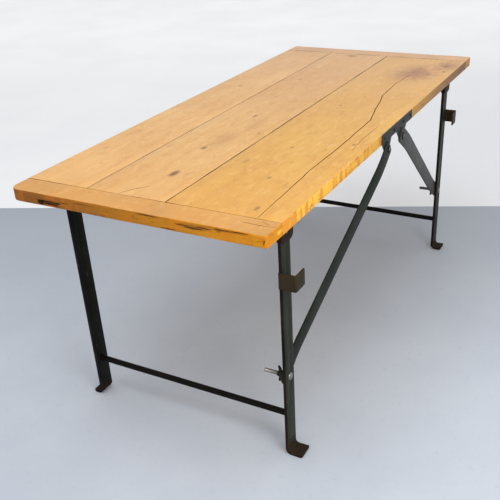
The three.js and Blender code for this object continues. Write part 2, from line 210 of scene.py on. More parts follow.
def cut_away(piece, *cutters):
    """Takes the cutters out of a piece. A cut that would destroy the piece is left out."""
    for cutter in cutters:
        whole = piece.data.copy()
        bake(piece, "BOOLEAN", operation="DIFFERENCE", solver="EXACT", object=cutter,
             material_mode="TRANSFER")
        if len(piece.data.polygons) < len(whole.polygons) / 2:
            piece.data = whole
            print("a cut was left out of", piece.name)
        bpy.data.objects.remove(cutter)


def weld_on(piece, *others):
    for other in others:
        bake(piece, "BOOLEAN", operation="UNION", solver="EXACT", object=other,
             material_mode="TRANSFER")
        bpy.data.objects.remove(other)


def smooth(piece, angle=35):
    start_fresh(piece)
    bpy.ops.object.shade_smooth_by_angle(angle=math.radians(angle))


def twin_of(piece, name, move):
    """A copy with a mesh of its own, moved by a matrix."""
    twin = piece.copy()
    twin.data = piece.data.copy()
    twin.name = twin.data.name = name
    bpy.context.scene.collection.objects.link(twin)
    twin.data.transform(move)
    if move.determinant() < 0:
        twin.data.flip_normals()
    return twin


def shake(place):
    """A push with a steady noise in each direction, the same on every run."""
    return Vector([noise.noise(place + Vector((0, 0, 31.7 * axis))) for axis in range(3)])


print("tools ready")

# %% [markdown]
# ## Round parts
# Rivets, screws and bolts are round. Each one starts as a filled circle, which is extruded and
# scaled ring by ring, as on a lathe. It is modelled standing up at the origin, and laid along
# its real axis afterwards.

# %% Turning
def turned(name, rings, sides=28):
    """rings lists (radius, height) from the bottom up."""
    start_fresh()
    radius, height = rings[0]
    bpy.ops.mesh.primitive_circle_add(
        vertices=sides, radius=radius, fill_type="NGON", location=(0, 0, height))
    piece = settle(name)
    edit(piece)
    bpy.ops.mesh.select_mode(type="FACE")
    bpy.ops.mesh.select_all(action="SELECT")
    for wide, tall in rings[1:]:
        pull(z=tall - height)
        bpy.ops.transform.resize(
            value=(wide / radius, wide / radius, 1), center_override=(0, 0, tall))
        radius, height = wide, tall
    close_up(piece)
    return piece


def laid(axis, at):
    """The matrix that lays a standing piece along an axis and puts its origin at a point."""
    turn = Vector((0, 0, 1)).rotation_difference(Vector(axis))
    return Matrix.Translation(at) @ turn.to_matrix().to_4x4()


# %% [markdown]
# ## How finishes are built
# Every finish is made of nodes that read Object coordinates, so the pattern stays on the piece
# when it folds. A small class keeps one material's nodes together and offers the few steps that
# wood, paint and rust share: stretched noise, a colour ramp, a mix, a spot, and a bump.

# %% The finish bench
def colour(red, green, blue):
    """A screen colour, 0 to 255, as the linear colour that Blender works in."""
    return tuple(((c / 255 + 0.055) / 1.055) ** 2.4 if c > 10 else c / 255 / 12.92
                 for c in (red, green, blue)) + (1.0,)


class Finish:
    def __init__(self, name):
        self.material = bpy.data.materials.new(name)
        self.material.use_nodes = True
        self.tree = self.material.node_tree
        self.shader = self.tree.nodes["Principled BSDF"]
        self.place = self.add("ShaderNodeTexCoord").outputs["Object"]

    def add(self, kind, values=(), **settings):
        node = self.tree.nodes.new(kind)
        for name, value in settings.items():
            setattr(node, name, value)
        for socket, value in dict(values).items():
            if isinstance(value, bpy.types.NodeSocket):
                self.tree.links.new(value, node.inputs[socket])
            else:
                node.inputs[socket].default_value = value
        return node

    def moved(self, scale=(1, 1, 1), by=(0, 0, 0)):
        return self.add("ShaderNodeMapping", {
            "Vector": self.place, "Location": by, "Scale": scale}).outputs["Vector"]

    def noise(self, scale=(1, 1, 1), by=(0, 0, 0), detail=4.0, rough=0.55, twist=0.0):
        return self.add("ShaderNodeTexNoise", {
            "Vector": self.moved(scale, by), "Scale": 1.0, "Detail": detail,
            "Roughness": rough, "Distortion": twist}).outputs["Fac"]

    def ramp(self, value, low, high):
        """Stretches the part of a value between low and high over 0 to 1."""
        return self.add("ShaderNodeMapRange", {
            "Value": value, "From Min": low, "From Max": high}, clamp=True,
            interpolation_type="SMOOTHSTEP").outputs["Result"]

    def maths(self, operation, a, b=0.5):
        return self.add("ShaderNodeMath", {0: a, 1: b}, operation=operation).outputs[0]

    def mix(self, share, a, b, blend="MIX"):
        node = self.add("ShaderNodeMix", data_type="RGBA", blend_type=blend)
        for socket, value in ((0, share), (6, a), (7, b)):
            if isinstance(value, bpy.types.NodeSocket):
                self.tree.links.new(value, node.inputs[socket])
            else:
                node.inputs[socket].default_value = value
        return node.outputs[2]

    def tint(self, body, pattern, strength, shade):
        """Lays a shade over the body where a pattern is strong."""
        return self.mix(self.maths("MULTIPLY", pattern, strength), body, shade)

    def along(self, axis):
        split = self.add("ShaderNodeSeparateXYZ", {"Vector": self.place})
        return split.outputs[axis]

    def spot(self, centre, size, wobble=0.35, inner=0.35):
        """1 at the middle of an oval spot and 0 outside it, with an uneven rim."""
        scale = tuple(1 / s for s in size)
        by = tuple(-c / s for c, s in zip(centre, size))
        reach = self.add("ShaderNodeVectorMath", {0: self.moved(scale, by)},
                         operation="LENGTH").outputs["Value"]
        rough = self.noise((60, 60, 60), detail=3.0)
        reach = self.maths("ADD", reach, self.maths("MULTIPLY", rough, wobble))
        return self.ramp(reach, 1.0 + wobble / 2, inner)

    def finish(self, base, rough, metal=0.0, bump=None, depth=0.0003, shine=0.5):
        for socket, value in (("Base Color", base), ("Roughness", rough), ("Metallic", metal)):
            if isinstance(value, bpy.types.NodeSocket):
                self.tree.links.new(value, self.shader.inputs[socket])
            else:
                self.shader.inputs[socket].default_value = value
        self.shader.inputs["Specular IOR Level"].default_value = shine
        if bump is not None:
            normal = self.add("ShaderNodeBump", {
                "Height": bump, "Strength": 1.0, "Distance": depth}).outputs["Normal"]
            self.tree.links.new(normal, self.shader.inputs["Normal"])
        return self.material


# %% [markdown]
# ## Pine
# The top is old softwood under a worn clear oil: honey coloured, with long faint streaks along
# each board. Towards the far end a pinker, paler cast is laid over it, a painted reflection of
# the bright surroundings on the oiled top. Stretched noise makes the streaks and flecks. A wave
# bent by noise makes the growth lines, small ovals make the knots, and a thin dark line follows
# each seam. Each board gets its own shift of the pattern, because no two boards come from the
# same tree.

# %% Pine seen from above
def pine(name, shift, light, dark, along_x=False, knots=(), stains=(), seams=()):
    recipe = Finish(name)
    long, fine = (1.6, 38.0), (4.0, 130.0)
    if along_x:
        stretch = (long[0], long[1], long[1])
        fibre = (fine[0], fine[1], fine[1])
        wave_scale, direction = (0.5, 5.0, 5.0), "Y"
    else:
        stretch = (long[1], long[0], long[1])
        fibre = (fine[1], fine[0], fine[1])
        wave_scale, direction = (5.0, 0.5, 5.0), "X"
    streaks = recipe.noise(stretch, shift, detail=6.0, rough=0.62, twist=0.25)
    fibres = recipe.noise(fibre, shift, detail=3.0)
    cloud = recipe.noise((3.1, 2.0, 3.0), shift, detail=4.0, rough=0.6)
    blotch = recipe.noise((11, 6, 11), shift, detail=5.0, rough=0.6)
    growth = recipe.add("ShaderNodeTexWave", {
        "Vector": recipe.moved(wave_scale, shift), "Scale": 1.0, "Distortion": 7.5,
        "Detail": 3.0, "Detail Scale": 1.3, "Detail Roughness": 0.55},
        bands_direction=direction).outputs["Fac"]

    body = recipe.mix(recipe.ramp(cloud, 0.3, 0.72), light, dark)
    body = recipe.tint(body, recipe.ramp(streaks, 0.45, 0.8), 0.22, colour(202, 140, 74))
    late = recipe.ramp(growth, 0.72, 0.99)
    body = recipe.tint(body, late, 0.10, colour(186, 124, 64))
    body = recipe.tint(body, recipe.ramp(blotch, 0.52, 0.78), 0.28, colour(206, 150, 96))
    mark = recipe.noise((34, 15, 30), shift, detail=5.0, rough=0.72)
    body = recipe.tint(body, recipe.ramp(mark, 0.50, 0.70), 0.34, colour(176, 120, 66))
    fleck = recipe.noise((85, 34, 80), shift, detail=3.0)
    body = recipe.tint(body, recipe.ramp(fleck, 0.62, 0.76), 0.5, colour(140, 92, 50))
    gleam = recipe.noise((60, 24, 60), (shift[1], shift[2], shift[0]), detail=4.0, rough=0.7)
    body = recipe.tint(body, recipe.ramp(gleam, 0.50, 0.72), 0.35, colour(240, 198, 138))
    golden = recipe.ramp(recipe.along("Y"), -0.3, -0.9)
    body = recipe.tint(body, golden, 0.3, colour(206, 142, 62))
    # painted reflection: a pinker, paler cast laid over the top towards the far end
    pale = recipe.ramp(recipe.along("Y"), -0.35, 0.85)
    body = recipe.tint(body, pale, 0.34, colour(228, 190, 160))
    for centre, size, strength in knots:
        body = recipe.tint(body, recipe.spot(centre, size), strength, colour(110, 78, 52))
    for centre, size, strength in stains:
        stain = recipe.spot(centre, size, 0.9, 0.2)
        body = recipe.tint(body, stain, strength, colour(150, 102, 92))
    for place, strength in seams:
        aside = recipe.maths("ABSOLUTE", recipe.maths("SUBTRACT", recipe.along("X"), place))
        uneven = recipe.ramp(recipe.noise((2, 9, 2), shift, detail=4.0), 0.25, 0.6)
        line = recipe.maths("MULTIPLY", recipe.ramp(aside, 3.4 * MM, 1.2 * MM), strength)
        body = recipe.mix(recipe.maths("MULTIPLY", line, uneven), body, colour(92, 58, 30))
    body = recipe.tint(body, recipe.ramp(fibres, 0.4, 0.8), 0.10, colour(166, 112, 62))

    rough = recipe.maths("ADD", recipe.maths("MULTIPLY", blotch, 0.22), 0.40)
    relief = recipe.maths("ADD", recipe.maths("MULTIPLY", fibres, 0.35),
                          recipe.maths("ADD", streaks, recipe.maths("MULTIPLY", blotch, 0.8)))
    return recipe.finish(body, rough, bump=relief, depth=0.0006, shine=0.3)


def spots(*rows):
    """Knots and stains as (x, y, half width, half length, strength), on the top surface."""
    return [((centre_x + x * MM, y * MM, cad_high.z), (a * MM, b * MM, 0.05), strength)
            for x, y, a, b, strength in rows]


left_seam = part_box("top_board_middle")[0].x
right_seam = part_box("top_board_middle")[1].x
board_finish = {
    "left": pine("pine_left_board", (0.3, 1.7, 0.2), colour(224, 180, 122), colour(208, 160, 102),
                 knots=spots((-290, 210, 9, 15, 0.5), (-330, -520, 7, 12, 0.35)),
                 seams=((left_seam, 0.35),)),
    "middle": pine("pine_middle_board", (4.1, 0.4, 2.2), colour(216, 172, 114),
                   colour(204, 154, 94),
                   knots=spots((-24, -622, 16, 34, 0.9), (-56, -422, 12, 20, 0.75),
                               (-62, -101, 10, 20, 0.65), (-74, 757, 34, 15, 0.75),
                               (-120, 360, 8, 12, 0.5), (30, -250, 7, 11, 0.45),
                               (-40, -330, 36, 120, 0.16), (-20, -180, 30, 90, 0.12)),
                   seams=((left_seam, 0.35), (right_seam, 0.95))),
    "right": pine("pine_right_board", (7.6, 3.3, 5.1), colour(216, 168, 88), colour(206, 154, 76),
                  knots=spots((288, -742, 9, 20, 0.6), (226, -560, 8, 14, 0.55),
                              (180, -330, 7, 10, 0.5), (335, -250, 9, 13, 0.5), (150, 95, 8, 11, 0.5),
                              (110, -470, 12, 30, 0.35), (330, 690, 18, 10, 0.75),
                              (300, 560, 13, 9, 0.7), (345, 610, 10, 16, 0.6),
                              (250, 640, 10, 14, 0.5)),
                  stains=spots((250, 560, 120, 180, 0.85), (335, 700, 75, 110, 0.8)),
                  seams=((right_seam, 0.95),)),
}
ends_finish = {
    "near": pine("pine_near_end", (2.3, 8.1, 1.4), colour(208, 158, 92), colour(190, 140, 76),
                 along_x=True),
    "far": pine("pine_far_end", (6.2, 5.5, 3.4), colour(216, 172, 126), colour(200, 154, 108),
                along_x=True),
}
print("pine:", len(board_finish) + len(ends_finish), "finishes")

# %% [markdown]
# ## The edges of the top
# The edges are darker and stronger in colour than the top. The strong colour comes from the oil
# that soaked into sawn wood and from hands that polished it; the darker tone is partly painted
# shade. The long right edge still shows the chatter of the saw as short bands, and its colour runs
# from bright orange at the near end to grey brown at the far end, which is painted light falling
# off along the edge. The near face is painted dark at its left end and bright at its right end,
# also painted light and shade. The seams between boards have collected dirt, so they get a nearly
# black brown of their own.

# %% Edge wood and seam dirt
def edge_wood(name, near, far, along_x, blocks=0.35, marks=()):
    recipe = Finish(name)
    stretch = (3.0, 60.0, 110.0) if along_x else (60.0, 3.0, 110.0)
    streaks = recipe.noise(stretch, (0.7, 2.9, 0.3), detail=5.0, rough=0.6)
    bands = recipe.noise((30, 38, 9), (1.1, 0.2, 0.5), detail=2.0, rough=0.5)
    blotches = recipe.noise((26, 26, 60), (0.5, 0.9, 0.1), detail=5.0, rough=0.7)
    # painted light and shade: this ramp makes the long edge bright at its near end and darker towards
    # the far end, and the near face dark at its left end and bright at its right
    painted_light_ramp = recipe.ramp(recipe.along("X" if along_x else "Y"),
                           -0.4 if along_x else -0.75, 0.4 if along_x else 0.8)
    body = recipe.mix(painted_light_ramp, near, far)
    blocked = recipe.maths("MULTIPLY", recipe.ramp(bands, 0.46, 0.56), blocks)
    if not along_x:
        blocked = recipe.maths("MULTIPLY", blocked, recipe.ramp(recipe.along("Y"), 0.3, -0.4))
    body = recipe.mix(blocked, body, colour(206, 112, 22))
    body = recipe.tint(body, recipe.ramp(streaks, 0.5, 0.75), 0.4, colour(130, 74, 18))
    body = recipe.tint(body, recipe.ramp(blotches, 0.56, 0.68), 0.6, colour(104, 58, 18))
    for centre, size, strength in marks:
        spot = recipe.maths("MULTIPLY", recipe.spot(centre, size, 0.9, 0.3), strength)
        body = recipe.mix(recipe.maths("MULTIPLY", spot, recipe.ramp(streaks, 0.3, 0.6)), body,
                          colour(70, 34, 12))
    relief = recipe.maths("ADD", streaks, recipe.maths("ADD", bands, blotches))
    return recipe.finish(body, recipe.maths("ADD", recipe.maths("MULTIPLY", bands, 0.2), 0.48),
                         bump=relief, depth=0.0012, shine=0.2)


def plain_dark(name, pale, dark):
    recipe = Finish(name)
    grain = recipe.noise((90, 90, 90), detail=3.0)
    body = recipe.mix(grain, pale, dark)
    return recipe.finish(body, 0.85, bump=grain, depth=0.0008, shine=0.1)


# The two end colours of the long edge and of the near face paint light and shade along them, over the
# colour of the oiled wood.
side_wood = edge_wood("pine_long_edge", colour(250, 190, 70), colour(140, 106, 78), False, 0.6)
front_marks = [((centre_x + x * MM, cad_low.y, z * MM), (long * MM, 0.05, tall * MM), share)
               for x, z, long, tall, share in ((-250, 739, 48, 13, 1.0), (-120, 752, 60, 6, 0.5),
                                               (190, 748, 62, 11, 0.75), (290, 755, 50, 6, 0.7),
                                               (60, 757, 80, 5, 0.6), (120, 727, 90, 5, 0.6))]
front_wood = edge_wood("pine_end_edge", colour(138, 84, 26), colour(208, 138, 18), True,
                       marks=front_marks)
back_wood = edge_wood("pine_far_edge", colour(196, 148, 92), colour(190, 142, 88), True)
seam_dirt = plain_dark("seam_dirt", colour(76, 46, 22), colour(30, 19, 11))
crack_dirt = plain_dark("crack_dirt", colour(132, 82, 40), colour(70, 42, 20))
print("edge finishes ready")

# %% [markdown]
# ## Steel
# The legs, crossbars, hooks and brackets carry an old green black paint. It is worn to grey on
# the edges and rusts where water stands: at the feet, around the hooks and in the chips. Noise
# makes the chips, and height above the floor brings in the rust. The paint is only a little
# glossy, so its roughness is uneven.

# %% Painted steel, worn steel and hardware
def painted(name, base, worn, rust_below=None, rust_share=0.06, metal=0.0, rough=0.5):
    recipe = Finish(name)
    patches = recipe.noise((9, 9, 5), detail=6.0, rough=0.62)
    grit = recipe.noise((70, 70, 34), (0.4, 0.1, 0.9), detail=5.0, rough=0.65)
    fine = recipe.noise((420, 420, 420), detail=2.0)
    body = recipe.mix(recipe.ramp(patches, 0.35, 0.7), base, worn)
    chips = recipe.maths("MULTIPLY", recipe.ramp(grit, 0.60, 0.72), 0.3)
    body = recipe.mix(chips, body, colour(98, 92, 80))
    rust_noise = recipe.maths("MULTIPLY", patches, grit)
    rust = recipe.ramp(rust_noise, 0.42 - rust_share, 0.50 - rust_share)
    if rust_below is not None:
        low = recipe.ramp(recipe.along("Z"), rust_below, rust_below * 0.35)
        low = recipe.maths("MULTIPLY", low, recipe.ramp(grit, 0.25, 0.55))
        rust = recipe.maths("MAXIMUM", rust, low)
    rusty = recipe.mix(recipe.ramp(grit, 0.35, 0.65), colour(16, 11, 6), colour(54, 36, 20))
    body = recipe.mix(recipe.maths("MULTIPLY", rust, 0.8), body, rusty)
    roughness = recipe.maths("ADD", recipe.maths("MULTIPLY", rust, 0.35),
                             recipe.maths("ADD", recipe.maths("MULTIPLY", grit, 0.22), rough - 0.1))
    relief = recipe.maths("ADD", recipe.maths("MULTIPLY", grit, 0.8),
                          recipe.maths("ADD", recipe.maths("MULTIPLY", fine, 0.25), rust))
    metal_share = recipe.maths("MULTIPLY", recipe.maths("SUBTRACT", 1.0, rust), metal)
    return recipe.finish(body, roughness, metal_share, relief, depth=0.0005, shine=0.1)


# The left legs get a nearly black copy of the leg paint as painted shade; the right legs keep the lit
# copy.
leg_paint = {"left": painted("shaded_leg_paint", colour(8, 11, 6), colour(18, 21, 13), 0.05),
             "right": painted("leg_paint", colour(30, 35, 25), colour(46, 48, 38), 0.05)}
# The thin edges of the legs get a dark rusty brown, partly rust and partly painted shade.
leg_edge_rust_and_shade = painted("leg_edge_rust_and_shade", colour(14, 10, 8), colour(34, 20, 15), rust_share=0.1)
bar_paint = painted("crossbar_paint", colour(5, 5, 4), colour(14, 10, 7), rust_share=0.04)
hook_paint = painted("hook_paint", colour(34, 28, 16), colour(60, 50, 32), rust_share=0.1)
bracket_paint = painted("bracket_paint", colour(18, 15, 12), colour(40, 24, 18), rust_share=0.1)
plate_steel = painted("plate_steel", colour(46, 52, 44), colour(60, 62, 60), rust_share=0.02,
                      metal=0.1)
near_brace_steel = painted("near_brace_steel", colour(22, 28, 22), colour(40, 44, 37),
                           rust_share=0.03)
far_brace_steel = painted("far_brace_steel", colour(65, 64, 65), colour(80, 79, 80),
                          rust_share=0.02, metal=0.1)
nut_metal = painted("nut_metal", colour(20, 20, 19), colour(56, 54, 50), rust_share=0.05,
                    metal=0.4, rough=0.4)
bright_metal = painted("bright_metal", colour(176, 174, 168), colour(112, 108, 100),
                       rust_share=0.04, metal=0.8, rough=0.34)
# Rivet heads: a pale grey painted highlight in the middle and a nearly black painted shadow around
# it.
rivet_shadow_rim = painted("rivet_shadow_rim", colour(10, 9, 7), colour(26, 20, 14), rust_share=0.06)
rivet_highlight_metal = painted("rivet_highlight_metal", colour(104, 101, 96), colour(126, 120, 112),
                      rust_share=0.02, metal=0.3)
print("steel finishes ready")

# %% [markdown]
# ## Handing a piece over
# Each finished piece stands for one solid of the imported model. `hand_over` names the piece
# after that solid and hides the solid, puts the piece on the same body, and lays the finish on it.

# %% Handing over
body_of = {node: body for body, nodes in frame["record"]["behaviour"]["bodies"].items()
           for node in nodes}


def hand_over(piece, node, *finishes):
    if finishes:
        piece.data.materials.clear()
        for finish in finishes:
            piece.data.materials.append(finish)
    piece.name = piece.data.name = "piece_" + node
    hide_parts(node)
    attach(piece, body_of[node])
    return piece


# %% [markdown]
# ## The boards
# Three wide boards run the length of the top. Each has a tongue at both ends that sits in a
# groove of the end board, which keeps the top flat. A board starts as a cube. It is sliced
# level with the tongue at both ends, the strips between the cuts are pulled out, and its long
# edges are divided so that the surface can be worn a little uneven.

# %% Boards
TONGUE = 26 * MM
SEAM_EASE = {"left": 1.1 * MM, "middle": 1.7 * MM, "right": 1.7 * MM}


def wear(piece, keep_inside, amount, scale=9.0, seed=0.0):
    """Sinks the surface by up to the given amount, unevenly, and never lets it out of its box."""
    low, high = keep_inside
    for vertex in piece.data.vertices:
        place = vertex.co * scale + Vector((seed, seed * 1.7, 0))
        push = shake(place) * amount
        moved = vertex.co + push
        for axis in range(3):
            if abs(vertex.co[axis] - low[axis]) < 1e-5 or abs(vertex.co[axis] - high[axis]) < 1e-5:
                inward = 1 if abs(vertex.co[axis] - low[axis]) < 1e-5 else -1
                moved[axis] = vertex.co[axis] + inward * abs(push[axis])
            moved[axis] = min(high[axis], max(low[axis], moved[axis]))
        vertex.co = moved


def make_board(side):
    low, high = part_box(f"top_board_{side}")
    body_end = high.y - TONGUE
    piece = block("board", (low.x, -body_end, low.z), (high.x, body_end, high.z))
    tongue_low, tongue_high = (low.z + high.z - 11 * MM) / 2, (low.z + high.z + 11 * MM) / 2
    edit(piece)
    slice_at(2, tongue_low)
    slice_at(2, tongue_high)
    for sign in (-1, 1):
        pick(piece, "FACE", lambda f: f.normal.y * sign > 0.9
             and tongue_low < f.calc_center_median().z < tongue_high)
        pull(y=sign * TONGUE)
    pick(piece, "EDGE", lambda e: runs_along(e, 1) and e.calc_length() > 1)
    bpy.ops.mesh.subdivide(number_cuts=47)
    pick(piece, "EDGE", lambda e: runs_along(e, 0) and abs(middle_of(e).z - high.z) < 1e-4)
    bpy.ops.mesh.subdivide(number_cuts=5)
    close_up(piece)
    ease(piece, SEAM_EASE[side], 2, 60)
    wear(piece, (low, high), 0.5 * MM, seed=3.0 + low.x * 10)
    return piece


def sort_faces(piece, outer_side):
    """Gives each face its finish: 0 above and below, 1 at an outer edge, 2 in a seam."""
    for face in piece.data.polygons:
        if abs(face.normal.z) > 0.8:
            face.material_index = 0
        elif face.normal.x * outer_side > 0.5:
            face.material_index = 1
        else:
            face.material_index = 2


boards = {}
for side, outer in (("left", -1), ("middle", 0), ("right", 1)):
    boards[side] = make_board(side)
    for finish in (board_finish[side], side_wood, seam_dirt):
        boards[side].data.materials.append(finish)
    sort_faces(boards[side], outer)
    print("board", side, len(boards[side].data.polygons), "faces")

# %% [markdown]
# ## Cracks in the wood
# A long drying crack wanders down the right board, and shorter ones start at the end joints.
# Each is cut with a thin tube that follows the crack along the surface: the tube is a curve
# turned into a mesh, and a boolean takes it out of the board. The cut keeps the dark colour of
# the tube, so the inside of the crack is dirty.

# %% Cracks
def crack_cutter(points, width):
    start_fresh()
    path = bpy.data.curves.new("crack", "CURVE")
    path.dimensions = "3D"
    path.bevel_depth = width / 2
    path.bevel_resolution = 1
    path.use_fill_caps = True
    spline = path.splines.new("POLY")
    places = []
    for (x0, y0), (x1, y1) in zip(points, points[1:]):
        steps = max(1, int(math.hypot(x1 - x0, y1 - y0) / 22))
        places += [(x0 + (x1 - x0) * i / steps, y0 + (y1 - y0) * i / steps) for i in range(steps)]
    places.append(points[-1])
    spline.points.add(len(places) - 1)
    for i, (x, y) in enumerate(places):
        sway = noise.noise(Vector((x * 0.03, y * 0.03, 0.5))) * 2.2
        thin = 1.0 - 0.55 * abs(2 * i / max(1, len(places) - 1) - 1) ** 3
        spline.points[i].co = (centre_x + (x + sway) * MM, y * MM, cad_high.z - 0.15 * MM, 1)
        spline.points[i].radius = thin
    cutter = bpy.data.objects.new("crack", path)
    bpy.context.scene.collection.objects.link(cutter)
    start_fresh(cutter)
    bpy.ops.object.convert(target="MESH")
    cutter = bpy.context.object
    cutter.data.materials.clear()
    cutter.data.materials.append(crack_dirt)
    return cutter


cut_away(boards["right"],
         crack_cutter([(314, -788), (309, -640), (301, -473), (303, -250), (297, -22), (272, 90),
                       (258, 170), (240, 249), (232, 400), (242, 532)], 3.2 * MM),
         crack_cutter([(349, -300), (338, -190), (342, -60)], 1.4 * MM))
cut_away(boards["middle"],
         crack_cutter([(-78, -788), (-60, -752), (-33, -720)], 2.6 * MM),
         crack_cutter([(-74, -440), (-56, -400), (-49, -372)], 1.8 * MM))
for side in boards:
    smooth(boards[side], 40)
    hand_over(boards[side], f"top_board_{side}")
print("cracks cut")

# %% [markdown]
# ## The end boards
# A narrow board crosses each end of the top, with a groove that the tongues fit. It starts as a
# cube whose inner face is sliced and pushed in to make the groove. Its corners are rounded by
# use, the near left one most of all, and the near face has two chewed places where fixings
# were once torn out.

# %% End boards
def chip(x, y, z, width, height, deep, turn=0.0):
    """A small rough wedge to cut a splintered place with."""
    start_fresh()
    bpy.ops.mesh.primitive_ico_sphere_add(
        subdivisions=2, radius=1, location=(centre_x + x * MM, y * MM, z * MM),
        rotation=(0, turn, 0))
    bpy.context.object.scale = (width * MM / 2, deep * MM, height * MM / 2)
    cutter = settle("chip")
    ragged = 0.13 * min(width, height, 2 * deep) * MM
    for vertex in cutter.data.vertices:
        vertex.co += shake(vertex.co * 140) * ragged
    cutter.data.materials.append(crack_dirt if deep < 3 else seam_dirt)
    return cutter


def make_end_board(end):
    sign = ENDS[end]
    low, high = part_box(f"breadboard_{end}")
    outer_y = sign * max(abs(low.y), abs(high.y))
    inner_y = sign * min(abs(low.y), abs(high.y))
    groove_low, groove_high = (low.z + high.z - 11.6 * MM) / 2, (low.z + high.z + 11.6 * MM) / 2
    piece = block("end_board", low, high)
    edit(piece)
    slice_at(2, groove_low)
    slice_at(2, groove_high)
    pick(piece, "FACE", lambda f: f.normal.y * sign < -0.9
         and groove_low < f.calc_center_median().z < groove_high)
    pull(y=sign * (TONGUE + 0.3 * MM))
    corner_radius = {("near", -1): 30, ("near", 1): 8, ("far", -1): 7, ("far", 1): 6}
    for side in SIDES.values():
        pick(piece, "EDGE", lambda e: runs_along(e, 2)
             and (middle_of(e).x - centre_x) * side > 0.3 and abs(middle_of(e).y - outer_y) < 1e-4)
        bpy.ops.mesh.bevel(offset=corner_radius[end, side] * MM, segments=5, affect="EDGES")
    pick(piece, "EDGE", lambda e: runs_along(e, 0) and e.calc_length() > 0.5)
    bpy.ops.mesh.subdivide(number_cuts=29)
    close_up(piece)
    ease(piece, 2.2 * MM if end == "near" else 1.6 * MM, 3, 60)
    wear(piece, (low, high), 0.9 * MM, scale=14.0, seed=5.0 + sign)
    for finish in (ends_finish[end], front_wood if end == "near" else back_wood, seam_dirt):
        piece.data.materials.append(finish)
    for face in piece.data.polygons:
        facing_in = face.normal.y * sign < -0.5
        deep_in = abs(face.center.y) < abs(inner_y) + 3 * MM and abs(face.normal.z) < 0.8
        if facing_in or (deep_in and abs(face.normal.x) < 0.5):
            face.material_index = 2
        elif abs(face.normal.z) < 0.75:
            face.material_index = 1
    return piece


end_boards = {end: make_end_board(end) for end in ENDS}
front = -867.5
cut_away(end_boards["near"],
         chip(-272, front, 737, 22, 13, 5), chip(-262, front, 742, 52, 4, 3),
         chip(-244, front, 736, 60, 4.5, 3.2), chip(-224, front, 741, 38, 5, 3.4),
         chip(-236, front, 739, 30, 4, 2.6), chip(-196, front, 745, 40, 3, 1.6),
         chip(60, front, 756, 60, 3, 1.4), chip(118, front, 732, 44, 3, 1.2),
         chip(160, front, 749, 46, 3.5, 1.8), chip(188, front, 745, 54, 4, 2.2),
         chip(216, front, 750, 48, 3.5, 2), chip(266, front, 754, 40, 3, 2),
         chip(312, front, 756, 44, 3, 1.8), chip(371, front + 2, 742, 3, 18, 2.5, 0.3),
         crack_cutter([(288, -821), (338, -823), (378, -820)], 2.0 * MM),
         crack_cutter([(330, -800), (352, -812), (366, -816)], 1.6 * MM))
for end in ENDS:
    smooth(end_boards[end], 40)
    hand_over(end_boards[end], f"breadboard_{end}")
    print("end board", end, len(end_boards[end].data.polygons), "faces")

# %% [markdown]
# ## The legs
# A leg is one flat bar. Its top is rounded around the pivot, and its lower end is heated and
# bent outward into a foot. Here the bar starts as a cube that ends where the bend begins. Its
# lower face is spun a quarter turn about the bend's axis, pulled out to the foot's length and
# lifted slightly at the toe. Two bevelled corners round the top, and the holes are drilled last.

# %% Legs
LEG_THICK = 9 * MM
RIVET_HOLE, BOLT_HOLE, SCREW_HOLE = 5.3 * MM, 6.3 * MM, 2.8 * MM
FOOT_BEND = 11 * MM
bolt_low, bolt_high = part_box("brace_bolt_near")
BOLT_Z = (bolt_low.z + bolt_high.z) / 2
PIVOT_Z = (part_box("leg_rivet_near_right")[0].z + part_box("leg_rivet_near_right")[1].z) / 2


def make_leg(end, side):
    sign = SIDES[side]
    low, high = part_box(f"leg_{end}_{side}")
    inner = low.x if sign > 0 else high.x
    tip = high.x if sign > 0 else low.x
    outer = inner + sign * LEG_THICK
    bend_x, bend_z = outer + sign * FOOT_BEND, LEG_THICK + FOOT_BEND
    piece = block("leg", (inner, low.y, bend_z), (outer, high.y, high.z))
    edit(piece)
    pick(piece, "FACE", lambda f: f.normal.z < -0.9)
    bpy.ops.mesh.spin(steps=8, angle=sign * math.pi / 2, center=(bend_x, 0, bend_z),
                      axis=(0, 1, 0))
    pull(x=tip - sign * LEG_THICK - bend_x)
    pull(x=sign * LEG_THICK, z=2 * MM)
    round_top = (high.y - low.y) / 2 - 0.1 * MM
    pick(piece, "EDGE", lambda e: runs_along(e, 0) and middle_of(e).z > high.z - 1e-4)
    bpy.ops.mesh.bevel(offset=round_top, segments=10, affect="EDGES")
    pick(piece, "EDGE", lambda e: abs(middle_of(e).x - tip) < 1e-4 and abs(
        e.verts[0].co.z - e.verts[1].co.z) > 5 * MM)
    bpy.ops.mesh.bevel(offset=3 * MM, segments=3, affect="EDGES")
    close_up(piece)
    middle_y = (low.y + high.y) / 2
    cut_away(piece, rod("hole", (inner - 0.02, middle_y, PIVOT_Z), (outer + 0.02, middle_y, PIVOT_Z),
                        RIVET_HOLE))
    if side == "right":
        cut_away(piece, rod("hole", (inner - 0.02, middle_y, BOLT_Z),
                            (outer + 0.02, middle_y, BOLT_Z), BOLT_HOLE))
    ease(piece, 0.9 * MM, 2, 40)
    smooth(piece, 25)
    hand_over(piece, f"leg_{end}_{side}", leg_paint[side], leg_edge_rust_and_shade)
    # Faces that point along the table take the dark edge finish: rust and painted shade.
    for face in piece.data.polygons:
        face.material_index = 1 if abs(face.normal.y) > 0.5 else 0
    return piece


for end in ENDS:
    for side in SIDES:
        made = make_leg(end, side)
        print(made.name, len(made.data.polygons), "faces")

# %% [markdown]
# ## Crossbars
# A round bar joins the two legs of a frame near the floor, welded at both ends. The bar is a
# cylinder, divided along its length and bent by a hair, as a knocked bar is. A weld is a lumpy
# ring: a torus whose points are pushed about by noise and joined to the bar by a boolean.

# %% Crossbars and their welds
def weld_ring(at, radius, thick, seed):
    start_fresh()
    bpy.ops.mesh.primitive_torus_add(
        major_segments=28, minor_segments=8, major_radius=radius, minor_radius=thick, location=at,
        rotation=(0, math.pi / 2, 0))
    ring = settle("weld")
    for vertex in ring.data.vertices:
        vertex.co += shake(vertex.co * 260 + Vector((seed, 0, 0))) * 0.0011
    return ring


